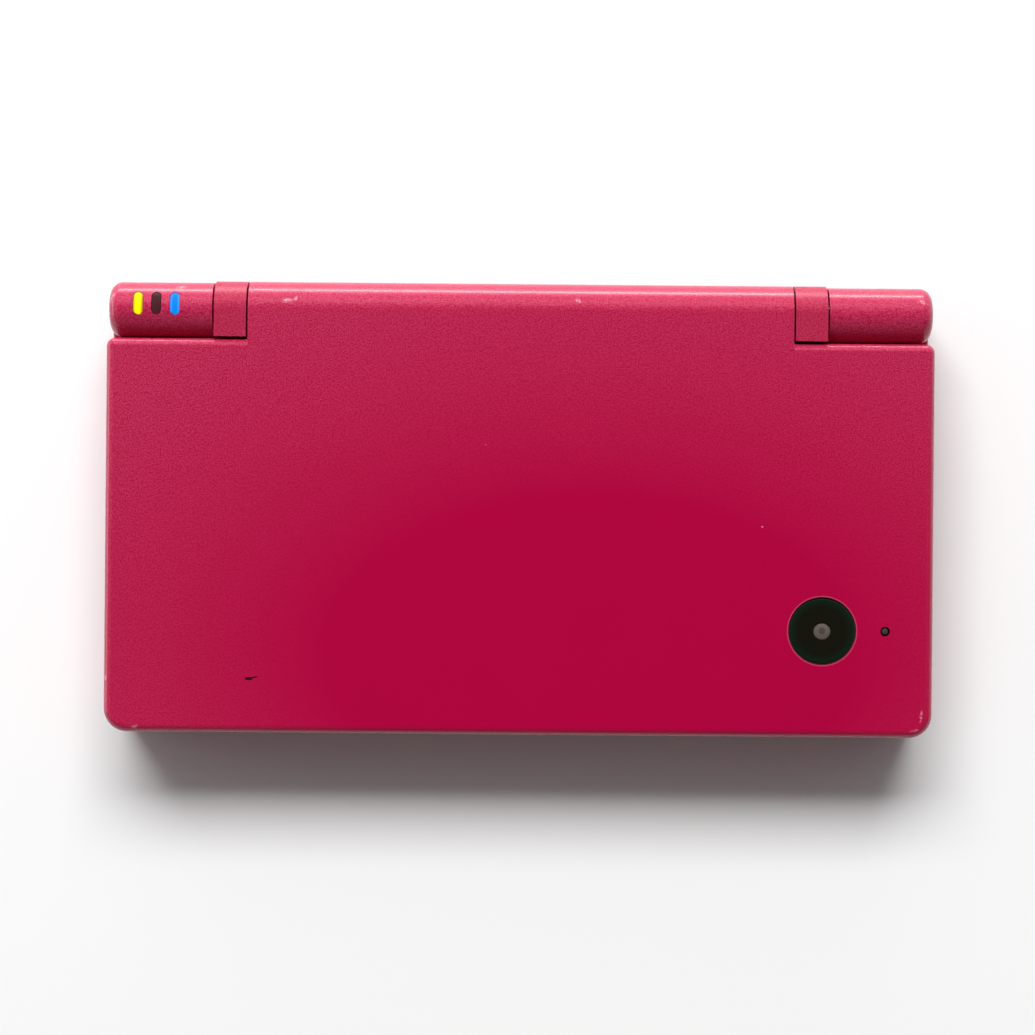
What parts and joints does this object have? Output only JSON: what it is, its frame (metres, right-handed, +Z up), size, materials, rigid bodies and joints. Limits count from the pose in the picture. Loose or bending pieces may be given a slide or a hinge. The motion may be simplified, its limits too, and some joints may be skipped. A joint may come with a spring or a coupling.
{
  "type": "clamshell handheld game console",
  "caption": "Folding handheld game console with a hinged lid, two displays, push buttons, rocking cross pad, cameras, stylus and card slot.",
  "frame": {"origin": "under the middle of the closed case, on the surface that the feet rest on", "axes": "+X to the right along the hinge, +Y towards the hinge at the rear, +Z up"},
  "size_m": [0.137, 0.0749, 0.0189],
  "materials": {
    "case_pink": "satin crimson pink with a fine speckle",
    "foot_rubber": "matte",
    "fasteners": "plated",
    "battery_wrap": "satin wrap",
    "stylus_plastic": "satin",
    "pressed_metal": "pressed sheet",
    "black_plastic": "moulded",
    "circuit_board": "solder mask",
    "screen_glass": "gloss black window",
    "display_module": "pressed frame",
    "button_plastic": "semi-gloss",
    "mat_rubber": "silicone",
    "light_yellow": "lit light pipe",
    "light_dark": "unlit light pipe",
    "light_blue": "lit light pipe",
    "camera_glass": "gloss black-green window",
    "cable_jacket": "jacketed"
  },
  "bodies": {
    "base": {"base_lower_case": "case_pink", "base_upper_case": "case_pink", "foot_front_left": "foot_rubber", "foot_rear_left": "foot_rubber", "foot_front_right": "foot_rubber", "foot_rear_right": "foot_rubber", "case_screw_1": "fasteners", "case_screw_2": "fasteners", "case_screw_3": "fasteners", "case_screw_4": "fasteners", "battery": "battery_wrap", "battery_cover": "case_pink", "battery_cover_screw_1": "fasteners", "battery_cover_screw_2": "fasteners", "card_reader": "pressed_metal", "memory_card_socket": "pressed_metal", "headphone_jack": "black_plastic", "power_socket": "black_plastic", "wireless_board": "circuit_board", "board_shield": "pressed_metal", "shoulder_pin_left": "fasteners", "shoulder_pin_right": "fasteners", "touch_panel": "screen_glass", "touch_display": "display_module", "dpad_mat": "mat_rubber", "action_mat": "mat_rubber", "small_button_mat": "mat_rubber", "power_button_mat": "mat_rubber", "main_board": "circuit_board", "charge_light": "light_yellow", "power_light": "light_dark", "wireless_light": "light_blue", "hinge_clutch": "pressed_metal", "hinge_bush": "black_plastic"},
    "lid": {"lid_outer_cover": "case_pink", "lid_inner_frame": "case_pink", "upper_window": "screen_glass", "upper_display": "display_module", "speaker_left": "black_plastic", "speaker_right": "black_plastic", "camera_window": "camera_glass", "outer_camera": "black_plastic", "camera_light": "light_dark", "inner_camera": "camera_glass", "hinge_cable": "cable_jacket"},
    "dpad_pivot": {"dpad_pivot": "black_plastic"},
    "dpad": {"dpad": "button_plastic"},
    "button_right": {"button_right": "button_plastic"},
    "button_lower": {"button_lower": "button_plastic"},
    "button_upper": {"button_upper": "button_plastic"},
    "button_left": {"button_left": "button_plastic"},
    "start_button": {"start_button": "button_plastic"},
    "select_button": {"select_button": "button_plastic"},
    "power_button": {"power_button": "button_plastic"},
    "shoulder_button_left": {"shoulder_button_left": "case_pink"},
    "shoulder_button_right": {"shoulder_button_right": "case_pink"},
    "volume_rocker": {"volume_rocker": "case_pink"},
    "memory_card_flap": {"memory_card_flap": "case_pink"},
    "stylus": {"stylus": "stylus_plastic"}
  },
  "joints": [
    {"name": "lid_hinge", "type": "hinge", "parent": "base", "child": "lid", "pos_m": [0, 0.0326, 0.01405], "axis": [-1, 0, 0], "range_deg": [0, 165]},
    {"name": "dpad_rock_front_back", "type": "hinge", "parent": "base", "child": "dpad_pivot", "pos_m": [-0.0512, 0.005, 0.0085], "axis": [1, 0, 0], "range_deg": [-3, 3], "stiffness_Nm_per_rad": 0.02},
    {"name": "dpad_rock_side", "type": "hinge", "parent": "dpad_pivot", "child": "dpad", "pos_m": [-0.0512, 0.005, 0.0085], "axis": [0, 1, 0], "range_deg": [-3, 3], "stiffness_Nm_per_rad": 0.02},
    {"name": "button_right_press", "type": "slide", "parent": "base", "child": "button_right", "axis": [0, 0, -1], "range_m": [0, 0.0005], "stiffness_N_per_m": 600, "springref_m": -0.0004},
    {"name": "button_lower_press", "type": "slide", "parent": "base", "child": "button_lower", "axis": [0, 0, -1], "range_m": [0, 0.0005], "stiffness_N_per_m": 600, "springref_m": -0.0004},
    {"name": "button_upper_press", "type": "slide", "parent": "base", "child": "button_upper", "axis": [0, 0, -1], "range_m": [0, 0.0005], "stiffness_N_per_m": 600, "springref_m": -0.0004},
    {"name": "button_left_press", "type": "slide", "parent": "base", "child": "button_left", "axis": [0, 0, -1], "range_m": [0, 0.0005], "stiffness_N_per_m": 600, "springref_m": -0.0004},
    {"name": "start_button_press", "type": "slide", "parent": "base", "child": "start_button", "axis": [0, 0, -1], "range_m": [0, 0.0004], "stiffness_N_per_m": 600, "springref_m": -0.0004},
    {"name": "select_button_press", "type": "slide", "parent": "base", "child": "select_button", "axis": [0, 0, -1], "range_m": [0, 0.0004], "stiffness_N_per_m": 600, "springref_m": -0.0004},
    {"name": "power_button_press", "type": "slide", "parent": "base", "child": "power_button", "axis": [0, 0, -1], "range_m": [0, 0.0004], "stiffness_N_per_m": 600, "springref_m": -0.0004},
    {"name": "shoulder_left_press", "type": "hinge", "parent": "base", "child": "shoulder_button_left", "pos_m": [-0.0479, 0.033, 0.00475], "axis": [0, 0, 1], "range_deg": [0, 4], "stiffness_Nm_per_rad": 0.1, "springref_deg": -2.86},
    {"name": "shoulder_right_press", "type": "hinge", "parent": "base", "child": "shoulder_button_right", "pos_m": [0.0479, 0.033, 0.00475], "axis": [0, 0, -1], "range_deg": [0, 4], "stiffness_Nm_per_rad": 0.1, "springref_deg": -2.86},
    {"name": "volume_rock", "type": "hinge", "parent": "base", "child": "volume_rocker", "pos_m": [-0.06765, -0.014, 0.0044], "axis": [0, 0, 1], "range_deg": [-3, 3], "stiffness_Nm_per_rad": 0.02},
    {"name": "memory_card_flap_hinge", "type": "hinge", "parent": "base", "child": "memory_card_flap", "pos_m": [0.0679, -0.0326, 0.00425], "axis": [0, 0, -1], "range_deg": [0, 100]},
    {"name": "stylus_slide", "type": "slide", "parent": "base", "child": "stylus", "axis": [1, 0, 0], "range_m": [0, 0.095]}
  ]
}
